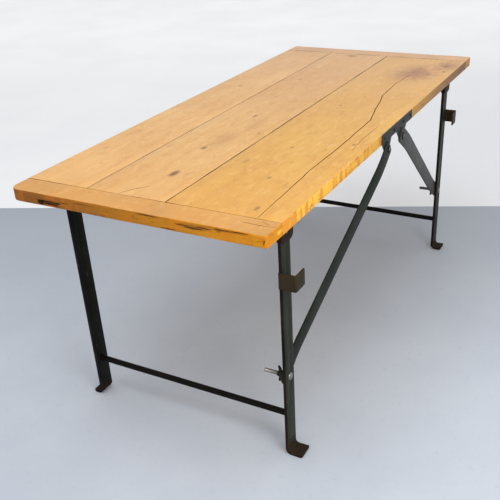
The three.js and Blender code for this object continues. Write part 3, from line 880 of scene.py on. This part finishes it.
def make_crossbar(end):
    low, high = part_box(f"crossbar_{end}")
    y, z = (low.y + high.y) / 2, (low.z + high.z) / 2
    radius = (high.z - low.z) / 2
    piece = rod("crossbar", (low.x, y, z), (high.x, y, z), radius, 28)
    edit(piece)
    pick(piece, "EDGE", lambda e: runs_along(e, 0) and e.calc_length() > 0.5)
    bpy.ops.mesh.subdivide(number_cuts=24)
    close_up(piece)
    for vertex in piece.data.vertices:
        along = (vertex.co.x - low.x) / (high.x - low.x)
        sway = math.sin(math.pi * along)
        vertex.co.z += 0.8 * MM * sway * noise.noise(Vector((vertex.co.x * 6, ENDS[end] * 3.0, 0)))
        vertex.co.y += 0.8 * MM * sway * noise.noise(Vector((vertex.co.x * 5, 7.0, ENDS[end])))
    for x, seed in ((low.x + 2.6 * MM, 1.0), (high.x - 2.6 * MM, 2.0)):
        weld_on(piece, weld_ring((x, y, z), radius, 2.3 * MM, seed + ENDS[end]))
    smooth(piece, 50)
    return hand_over(piece, f"crossbar_{end}", bar_paint)


for end in ENDS:
    print(make_crossbar(end).name)

# %% [markdown]
# ## Hooks for the folded braces
# A strap is welded to the outward edge of each right leg and bent back on itself, so that the
# folded brace can lie in it. The strap is a thin block whose end is spun around the corner and
# pulled back. A short lumpy bead along the leg is its weld.

# %% Hooks
def make_hook(end):
    sign = ENDS[end]
    low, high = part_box(f"brace_hook_{end}")
    thick = 3.5 * MM
    inner_bend = 3 * MM
    outer_y = low.y if sign < 0 else high.y
    lip_y = high.y if sign < 0 else low.y
    strap_y = outer_y - sign * thick
    bend_x, bend_y = high.x - thick - inner_bend, strap_y - sign * inner_bend
    piece = block("hook", (low.x, outer_y, low.z), (bend_x, strap_y, high.z))
    edit(piece)
    pick(piece, "EDGE", lambda e: runs_along(e, 0))
    bpy.ops.mesh.subdivide(number_cuts=3)
    pick(piece, "FACE", lambda f: f.normal.x > 0.9)
    bpy.ops.mesh.spin(steps=6, angle=sign * math.pi / 2, center=(bend_x, bend_y, 0),
                      axis=(0, 0, 1))
    reach = abs(lip_y - bend_y)
    for step in (0.4, 0.4, 0.2):
        pull(y=-sign * reach * step)
    pick(piece, "EDGE", lambda e: runs_along(e, 0) and abs(middle_of(e).y - lip_y) < 1e-4)
    bpy.ops.mesh.bevel(offset=4 * MM, segments=3, affect="EDGES")
    close_up(piece)
    ease(piece, 0.7 * MM, 2, 40)
    leg_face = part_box(f"leg_{end}_right")[0].x + LEG_THICK
    bead = rod("bead", (leg_face + 1.2 * MM, strap_y - sign * 0.6 * MM, low.z + 4 * MM),
               (leg_face + 1.2 * MM, strap_y - sign * 0.6 * MM, high.z - 4 * MM), 2.2 * MM, 10)
    edit(bead)
    pick(bead, "EDGE", lambda e: runs_along(e, 2))
    bpy.ops.mesh.subdivide(number_cuts=14)
    close_up(bead)
    for vertex in bead.data.vertices:
        vertex.co += shake(vertex.co * 240) * 0.0009
    weld_on(piece, bead)
    smooth(piece, 40)
    return hand_over(piece, f"brace_hook_{end}", hook_paint)


for end in ENDS:
    print(make_hook(end).name)

# %% [markdown]
# ## Hinge brackets
# Each leg swings in a folded steel bracket under the top: a seat that screws to the wood and
# two cheeks that hold the rivet. The seat is a thin block, sliced where the cheeks leave it.
# The two strips below are pulled down together, and the lower corners are rounded off.

# %% Brackets
def make_bracket(end, side):
    sign = SIDES[side]
    low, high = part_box(f"hinge_bracket_{end}_{side}")
    thick = 3 * MM
    seat_low = high.z - thick
    outer = high.x if sign > 0 else low.x
    leg_gap = LEG_THICK + 0.6 * MM
    inner_cheek = outer - sign * (thick + leg_gap)
    piece = block("bracket", (low.x, low.y, seat_low), (high.x, high.y, high.z))
    edit(piece)
    for x in (outer - sign * thick, inner_cheek, inner_cheek - sign * thick):
        slice_at(0, x)
    cheeks = (outer - sign * thick / 2, inner_cheek - sign * thick / 2)
    pick(piece, "FACE", lambda f: f.normal.z < -0.9
         and min(abs(f.calc_center_median().x - x) for x in cheeks) < 0.1 * MM)
    pull(z=low.z - seat_low)
    pick(piece, "EDGE", lambda e: runs_along(e, 0) and abs(middle_of(e).z - low.z) < 1e-4)
    bpy.ops.mesh.bevel(offset=16 * MM, segments=6, affect="EDGES")
    close_up(piece)
    leg_low, leg_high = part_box(f"leg_{end}_{side}")
    leg_y = (leg_low.y + leg_high.y) / 2
    cut_away(piece, rod("hole", (low.x - 0.01, leg_y, PIVOT_Z), (high.x + 0.01, leg_y, PIVOT_Z),
                        RIVET_HOLE))
    for index in (1, 2):
        a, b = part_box(f"bracket_screw_{end}_{side}_{index}")
        x, y = (a.x + b.x) / 2, (a.y + b.y) / 2
        cut_away(piece, rod("hole", (x, y, seat_low - 0.01), (x, y, high.z + 0.01), SCREW_HOLE, 16))
    ease(piece, 0.6 * MM, 2, 40)
    smooth(piece, 25)
    return hand_over(piece, f"hinge_bracket_{end}_{side}", bracket_paint)


for end in ENDS:
    for side in SIDES:
        print(make_bracket(end, side).name)

# %% [markdown]
# ## Screws
# All twelve screws are alike: a round slotted head on a tapered shank. One is turned and
# slotted, and the rest are copies of it, each with its slot at an angle of its own.

# %% Screws
SCREW_HEAD = 2.4 * MM


def make_screw():
    screw = turned("screw", [(0.3 * MM, -22 * MM), (2.5 * MM, -17 * MM), (2.5 * MM, 0),
                             (5.2 * MM, 0.01 * MM), (5.2 * MM, 0.5 * MM), (4.7 * MM, 1.3 * MM),
                             (3.4 * MM, 2.0 * MM), (1.4 * MM, SCREW_HEAD)], 20)
    slot = block("slot", (-0.7 * MM, -8 * MM, 1.2 * MM), (0.7 * MM, 8 * MM, 4 * MM))
    cut_away(screw, slot)
    smooth(screw, 30)
    return screw


dice = random.Random(7)
pattern = make_screw()
for node in sorted(frame["nodes"]):
    if "_screw_" not in node:
        continue
    low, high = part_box(node)
    middle = (low + high) / 2
    if node.startswith("edge_plate"):
        axis, seat = Vector((1, 0, 0)), Vector((high.x - SCREW_HEAD, middle.y, middle.z))
    else:
        axis, seat = Vector((0, 0, -1)), Vector((middle.x, middle.y, low.z + SCREW_HEAD))
    spin = Matrix.Rotation(dice.uniform(0, math.pi), 4, "Z")
    hand_over(twin_of(pattern, node, laid(axis, seat) @ spin), node, nut_metal)
bpy.data.objects.remove(pattern)
print("12 screws placed")

# %% [markdown]
# ## Rivets
# The leg rivets and the brace rivets are hammered over at both ends, each on a thin washer, so a
# head is a low dome on a flat rim. A rivet is turned once for each size and copied. The middle of
# each head is coloured pale grey as a painted highlight, and the rest nearly black as a painted
# shadow around it.

# %% Rivets
def make_rivet(shank, head, tall, length):
    dome = ((0.14, 1.0), (0.36, 0.92), (0.52, 0.62), (0.58, 0.34), (0.95, 0.30), (1.0, 0.18),
            (1.0, 0.0))
    bottom = [(head * r, -tall * h) for r, h in dome]
    top = [(head * r, length + tall * h) for r, h in reversed(dome)]
    return turned("rivet", bottom + [(shank, 0.0), (shank, length)] + top)


def place_rivets(names, shank, head, tall):
    low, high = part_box(names[0])
    length = high.x - low.x - 2 * tall
    pattern = make_rivet(shank, head, tall, length)
    smooth(pattern, 40)
    for name in names:
        low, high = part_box(name)
        seat = Vector((low.x + tall, (low.y + high.y) / 2, (low.z + high.z) / 2))
        rivet = hand_over(twin_of(pattern, name, laid((1, 0, 0), seat)), name,
                          rivet_highlight_metal, rivet_shadow_rim)
        # The middle of the head gets the painted highlight, the rest the painted shadow.
        for face in rivet.data.polygons:
            aside = (face.center - seat).yz.length
            face.material_index = 0 if aside < head * 0.5 else 1
    bpy.data.objects.remove(pattern)


place_rivets([f"leg_rivet_{end}_{side}" for end in ENDS for side in SIDES], 5 * MM, 9 * MM, 2 * MM)
place_rivets([f"brace_rivet_{end}" for end in ENDS], 5 * MM, 12 * MM, 3 * MM)
print("6 rivets placed")

# %% [markdown]
# ## The edge plate
# One plate on the long right edge carries both braces. It has two ears that hang below the
# wood, each rounded about its rivet. The plate is a thin block, sliced at the sides of the ears.
# The lower faces between those cuts are pulled down, drawn together and rounded.

# %% Edge plate
def make_edge_plate():
    low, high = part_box("edge_plate")
    ear_drop, ear_wide = 47.5 * MM, 45 * MM
    wood_edge = low.z + ear_drop
    ears = {"near": (-148 * MM, -67 * MM), "far": (-20 * MM, 73 * MM)}
    piece = block("plate", (low.x, low.y, wood_edge), (high.x, high.y, high.z))
    edit(piece)
    for y in (ears["near"][1], *ears["far"]):
        slice_at(1, y)
    for end, (start, stop) in ears.items():
        rivet_low, rivet_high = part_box(f"brace_rivet_{end}")
        pivot_y = (rivet_low.y + rivet_high.y) / 2
        pivot_z = (rivet_low.z + rivet_high.z) / 2
        pick(piece, "FACE", lambda f: f.normal.z < -0.9
             and start < f.calc_center_median().y < stop)
        pull(z=pivot_z - wood_edge)
        bpy.ops.transform.resize(value=(1, ear_wide / (stop - start), 1),
                                 center_override=(0, (start + stop) / 2, 0))
        bpy.ops.transform.translate(value=(0, pivot_y - (start + stop) / 2, 0))
        pull(z=low.z - pivot_z)
        pick(piece, "EDGE", lambda e: runs_along(e, 0) and abs(middle_of(e).z - low.z) < 1e-4
             and abs(middle_of(e).y - pivot_y) < 0.03)
        bpy.ops.mesh.bevel(offset=21.5 * MM, segments=9, affect="EDGES")
    for y in (low.y, high.y):
        pick(piece, "EDGE", lambda e: runs_along(e, 0) and abs(middle_of(e).y - y) < 1e-4
             and abs(middle_of(e).z - high.z) < 1e-4)
        bpy.ops.mesh.bevel(offset=3 * MM, segments=3, affect="EDGES")
    close_up(piece)
    holes = [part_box(f"brace_rivet_{end}") for end in ENDS]
    for radius, boxes in ((RIVET_HOLE, holes),
                          (SCREW_HOLE, [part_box(f"edge_plate_screw_{i}") for i in range(1, 5)])):
        for a, b in boxes:
            y, z = (a.y + b.y) / 2, (a.z + b.z) / 2
            cut_away(piece, rod("hole", (low.x - 0.01, y, z), (high.x + 0.01, y, z), radius))
    ease(piece, 0.5 * MM, 2, 40)
    smooth(piece, 25)
    hand_over(piece, "edge_plate", plate_steel, far_brace_steel)
    for face in piece.data.polygons:
        face.material_index = 1 if face.normal.z > 0.4 else 0
    return piece


print(make_edge_plate().name)

# %% [markdown]
# ## Braces
# A brace is a flat bar that starts on the outer face of an ear and ends on the inner face of
# its leg, so it is sprung sideways in a long S. It starts as a flat face across the bar, which
# is pulled along in steps, short ones where it bends, each moved sideways a little. The lower
# end is rounded around the bolt, and the corners of the upper end are cut off. The bar is drawn
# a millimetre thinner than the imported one, which leaves it clear of the plate when it folds.

# %% Braces
BRACE_WIDE, BRACE_THICK = 50 * MM, 5 * MM
BRACE_AWAY = 3.3 * MM
PAST_RIVET, PAST_BOLT = 14 * MM, 25 * MM


def make_brace(end):
    a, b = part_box(f"brace_rivet_{end}")
    plate_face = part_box("edge_plate")[1].x
    pivot = Vector((plate_face + BRACE_AWAY, (a.y + b.y) / 2, (a.z + b.z) / 2))
    leg_low, leg_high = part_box(f"leg_{end}_right")
    bolt = Vector((leg_low.x - BRACE_AWAY, (leg_low.y + leg_high.y) / 2, BOLT_Z))
    run = Vector((0, bolt.y - pivot.y, bolt.z - pivot.z))
    length, direction = run.length, run.normalized()
    across = direction.cross(Vector((1, 0, 0)))
    flat, corner, bend = 32 * MM, 10 * MM, 70 * MM
    whole = length - 2 * flat - corner
    run = whole - bend

    def centre_at(distance):
        done = min(whole, max(0, distance - flat))
        share = (done - bend / 2) / run
        if done < bend:
            share = done ** 2 / (2 * bend * run)
        if done > whole - bend:
            share = 1 - (whole - done) ** 2 / (2 * bend * run)
        return pivot + direction * distance + Vector(((bolt.x - pivot.x) * share, 0, 0))

    start_fresh()
    bpy.ops.mesh.primitive_plane_add(size=1)
    piece = bpy.context.object
    piece.name = piece.data.name = "brace"
    turn = Matrix((Vector((1, 0, 0)), across, direction)).transposed().to_4x4()
    piece.matrix_world = (Matrix.Translation(centre_at(-PAST_RIVET)) @ turn
                          @ Matrix.Diagonal((BRACE_THICK, BRACE_WIDE, 1, 1)))
    settle("brace")
    turns = [bend * i / 6 for i in range(7)]
    stations = ([-PAST_RIVET] + [flat + turn for turn in turns]
                + [flat + whole - turn for turn in reversed(turns)] + [length + PAST_BOLT])
    edit(piece)
    bpy.ops.mesh.select_mode(type="FACE")
    bpy.ops.mesh.select_all(action="SELECT")
    for before, after in zip(stations, stations[1:]):
        step = centre_at(after) - centre_at(before)
        pull(*step)
    for distance, size, segments in ((length + PAST_BOLT, 24.8 * MM, 12),
                                     (-PAST_RIVET, 9 * MM, 4)):
        spot = centre_at(distance)
        pick(piece, "EDGE", lambda e: runs_along(e, 0)
             and abs((middle_of(e) - spot).dot(direction)) < 1e-4)
        bpy.ops.mesh.bevel(offset=size, segments=segments, affect="EDGES")
    close_up(piece)
    for at, radius in ((pivot, RIVET_HOLE), (bolt, BOLT_HOLE)):
        away = Vector((0.02, 0, 0))
        cut_away(piece, rod("hole", at - away, at + away, radius))
    ease(piece, 0.8 * MM, 2, 40)
    smooth(piece, 25)
    return hand_over(piece, f"brace_{end}",
                     near_brace_steel if end == "near" else far_brace_steel)


for end in ENDS:
    made = make_brace(end)
    print(made.name, len(made.data.polygons), "faces")

# %% [markdown]
# ## Bolts, washers and wing nuts
# A domed bolt passes through the leg and the brace and sticks out on the inside, where the wing
# nut runs on its thread. The thread is turned as fine grooves one pitch apart, which at this
# size can't be told from a helix. The wing nut's hub is turned too. A wing is a small block
# pulled up in three steps and softened by subdivision, and the second wing is the first one
# turned half round. A boolean joins them and drills the bore.

# %% Bolts
BOLT_HEAD, THREADED = 5.2 * MM, 52 * MM


def make_bolt(low, high):
    reach = high.x - low.x - BOLT_HEAD
    pitch = 1.75 * MM
    rings = [(4.4 * MM, -reach), (5.1 * MM, -reach + 0.7 * MM)]
    height = -reach + 0.7 * MM
    while height < -reach + THREADED:
        rings += [(5.9 * MM, height + pitch * 0.5), (5.1 * MM, height + pitch)]
        height += pitch
    rings += [(6 * MM, height + 1 * MM), (6 * MM, 0), (11 * MM, 0.01 * MM), (11 * MM, 0.8 * MM),
              (10 * MM, 2.4 * MM), (7.6 * MM, 4.0 * MM), (3.6 * MM, 5.0 * MM), (1 * MM, BOLT_HEAD)]
    bolt = turned("bolt", rings, 28)
    smooth(bolt, 30)
    return bolt


low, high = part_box("brace_bolt_near")
bolt_pattern = make_bolt(low, high)
head_seat = high.x - BOLT_HEAD
for end in ENDS:
    a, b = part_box(f"brace_bolt_{end}")
    seat = Vector((head_seat, (a.y + b.y) / 2, (a.z + b.z) / 2))
    hand_over(twin_of(bolt_pattern, end, laid((1, 0, 0), seat)), f"brace_bolt_{end}", bright_metal)
bpy.data.objects.remove(bolt_pattern)

# %% Washers and wing nuts
def make_washer(low, high):
    wide, thick = (high.z - low.z) / 2, high.x - low.x
    washer = turned("washer", [(wide - 0.5 * MM, 0), (wide, 0.5 * MM), (wide, thick - 0.5 * MM),
                               (wide - 0.5 * MM, thick)], 36)
    cut_away(washer, rod("bore", (0, 0, -0.01), (0, 0, 0.02), BOLT_HOLE, 32))
    smooth(washer, 30)
    return washer


def make_wing_nut():
    """Stands on its flat face at the origin, with its wings along Y."""
    hub = turned("wing_nut", [(11 * MM, 0.01 * MM), (11 * MM, 3.2 * MM), (10.4 * MM, 4.2 * MM),
                              (8.8 * MM, 15.6 * MM), (8.0 * MM, 17 * MM)], 32)
    wings = []
    for sign in (1, -1):
        wing = block("wing", (-3.0 * MM, 5 * MM, 3.2 * MM), (3.0 * MM, 8 * MM, 15.5 * MM))
        edit(wing)
        pick(wing, "FACE", lambda f: f.normal.y > 0.9)
        for out, lift, shrink in ((4, 0.6, 0.95), (5, 1.2, 0.9), (5, 1.6, 0.9), (4, 1.2, 0.62)):
            pull(y=out * MM, z=lift * MM)
            mesh = bmesh.from_edit_mesh(wing.data)
            at = next(f for f in mesh.faces if f.select).calc_center_median()
            bpy.ops.transform.resize(value=(0.95, 1, shrink), center_override=at)
        close_up(wing)
        bake(wing, "SUBSURF", levels=2, render_levels=2)
        if sign < 0:
            wing.data.transform(Matrix.Rotation(math.pi, 4, "Z"))
        wings.append(wing)
    weld_on(hub, *wings)
    cut_away(hub, rod("bore", (0, 0, -0.02), (0, 0, 0.04), BOLT_HOLE, 32))
    smooth(hub, 45)
    return hub


washer_pattern = make_washer(*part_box("brace_washer_near"))
nut_pattern = make_wing_nut()
upright = Matrix.Rotation(math.pi / 2, 4, "Z")
for end in ENDS:
    low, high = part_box(f"brace_washer_{end}")
    seat = Vector((high.x, (low.y + high.y) / 2, (low.z + high.z) / 2))
    hand_over(twin_of(washer_pattern, end, laid((-1, 0, 0), seat)), f"brace_washer_{end}",
              nut_metal)
    low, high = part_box(f"wing_nut_{end}")
    seat = Vector((high.x, (low.y + high.y) / 2, (low.z + high.z) / 2))
    placed = laid((-1, 0, 0), seat)
    wings_up = placed.to_3x3() @ Vector((0, 1, 0))
    turn = upright if abs(wings_up.z) < 0.5 else Matrix.Identity(4)
    hand_over(twin_of(nut_pattern, end, placed @ turn), f"wing_nut_{end}", nut_metal)
bpy.data.objects.remove(washer_pattern)
bpy.data.objects.remove(nut_pattern)
print("bolts, washers and wing nuts placed")

# %% [markdown]
# ## Floor and light
# The table stands on a pale concrete floor with a cool tint. Towards a line behind the table the
# grey is painted darker, as painted shade under the table and at the foot of a wall. Beyond that
# line the floor turns nearly white and glows faintly, which gives the background of a painted
# wall without a wall that would hide the table from behind. Painted shade makes the white a
# little duller near the line and to the right. The light is a soft panel to the right, a larger
# one above, and an even sky.

# %% Floor
start_fresh()
bpy.ops.mesh.primitive_plane_add(size=24, location=(0, 0, -0.3 * MM))
floor = settle("floor")
recipe = Finish("pale_floor")
mottle = recipe.noise((1.6, 1.6, 1), detail=5.0, rough=0.6)
speck = recipe.noise((38, 38, 1), (3, 1, 0), detail=4.0, rough=0.7)
grey = recipe.mix(recipe.ramp(mottle, 0.3, 0.7), colour(180, 187, 199), colour(189, 196, 206))
grey = recipe.mix(recipe.maths("MULTIPLY", recipe.ramp(speck, 0.56, 0.70), 0.2), grey,
                  colour(158, 162, 168))
WALL_NORMAL, WALL_ALONG, WALL_DISTANCE = (-0.3793, 0.9253, 0), (0.9253, 0.3793, 0), 0.942
reach = recipe.add("ShaderNodeVectorMath", {0: recipe.place, 1: WALL_NORMAL},
                   operation="DOT_PRODUCT").outputs["Value"]
beyond = recipe.ramp(reach, WALL_DISTANCE - 0.004, WALL_DISTANCE + 0.004)
white = recipe.mix(recipe.ramp(mottle, 0.35, 0.65), colour(247, 247, 248), colour(254, 254, 254))
sideways = recipe.add("ShaderNodeVectorMath", {0: recipe.place, 1: WALL_ALONG},
                      operation="DOT_PRODUCT").outputs["Value"]
# painted shade: the white turns duller near the line and towards the right
painted_backdrop_shade = recipe.maths("ADD", recipe.maths("MULTIPLY", recipe.ramp(sideways, -0.3, 0.7), 0.35), 0.6)
painted_backdrop_shade = recipe.maths("MULTIPLY", painted_backdrop_shade, recipe.ramp(reach, 6.0, 1.3))
white = recipe.mix(painted_backdrop_shade, white, colour(207, 208, 212))
# painted shade: the grey floor darkens under the table and towards the foot of the wall line
shade = recipe.maths("MULTIPLY", recipe.ramp(reach, -0.6, WALL_DISTANCE), 0.55)
grey = recipe.mix(shade, grey, colour(152, 156, 164))
floor.data.materials.append(recipe.finish(
    recipe.mix(beyond, grey, white), 0.62, bump=speck, depth=0.0006, shine=0.3))
glow = recipe.mix(beyond, (0, 0, 0, 1), (0.16, 0.16, 0.16, 1))
recipe.tree.links.new(glow, recipe.shader.inputs["Emission Color"])
recipe.shader.inputs["Emission Strength"].default_value = 1.0
print("floor laid")

# %% Light
def panel(name, at, towards, size, power, tint=(1, 1, 1)):
    lamp = bpy.data.lights.new(name, "AREA")
    lamp.shape = "SQUARE"
    lamp.size = size
    lamp.energy = power
    lamp.color = tint
    light = bpy.data.objects.new(name, lamp)
    light.matrix_world = (Matrix.Translation(at) @ (Vector(towards) - Vector(at))
                          .to_track_quat("-Z", "Y").to_matrix().to_4x4())
    bpy.context.scene.collection.objects.link(light)


panel("side_panel", (2.3, -1.7, 1.5), (0.2, -0.6, 0.55), 1.3, 34, (1.0, 0.95, 0.88))
panel("top_panel", (0.2, -1.6, 3.8), (0.0, -0.2, 0.6), 2.4, 60)
world = bpy.data.worlds.new("soft_sky")
world.use_nodes = True
world.node_tree.nodes["Background"].inputs["Color"].default_value = (0.97, 0.985, 1.0, 1)
world.node_tree.nodes["Background"].inputs["Strength"].default_value = 0.74
bpy.context.scene.world = world
bpy.context.scene.view_settings.view_transform = "Standard"
print("lights on")
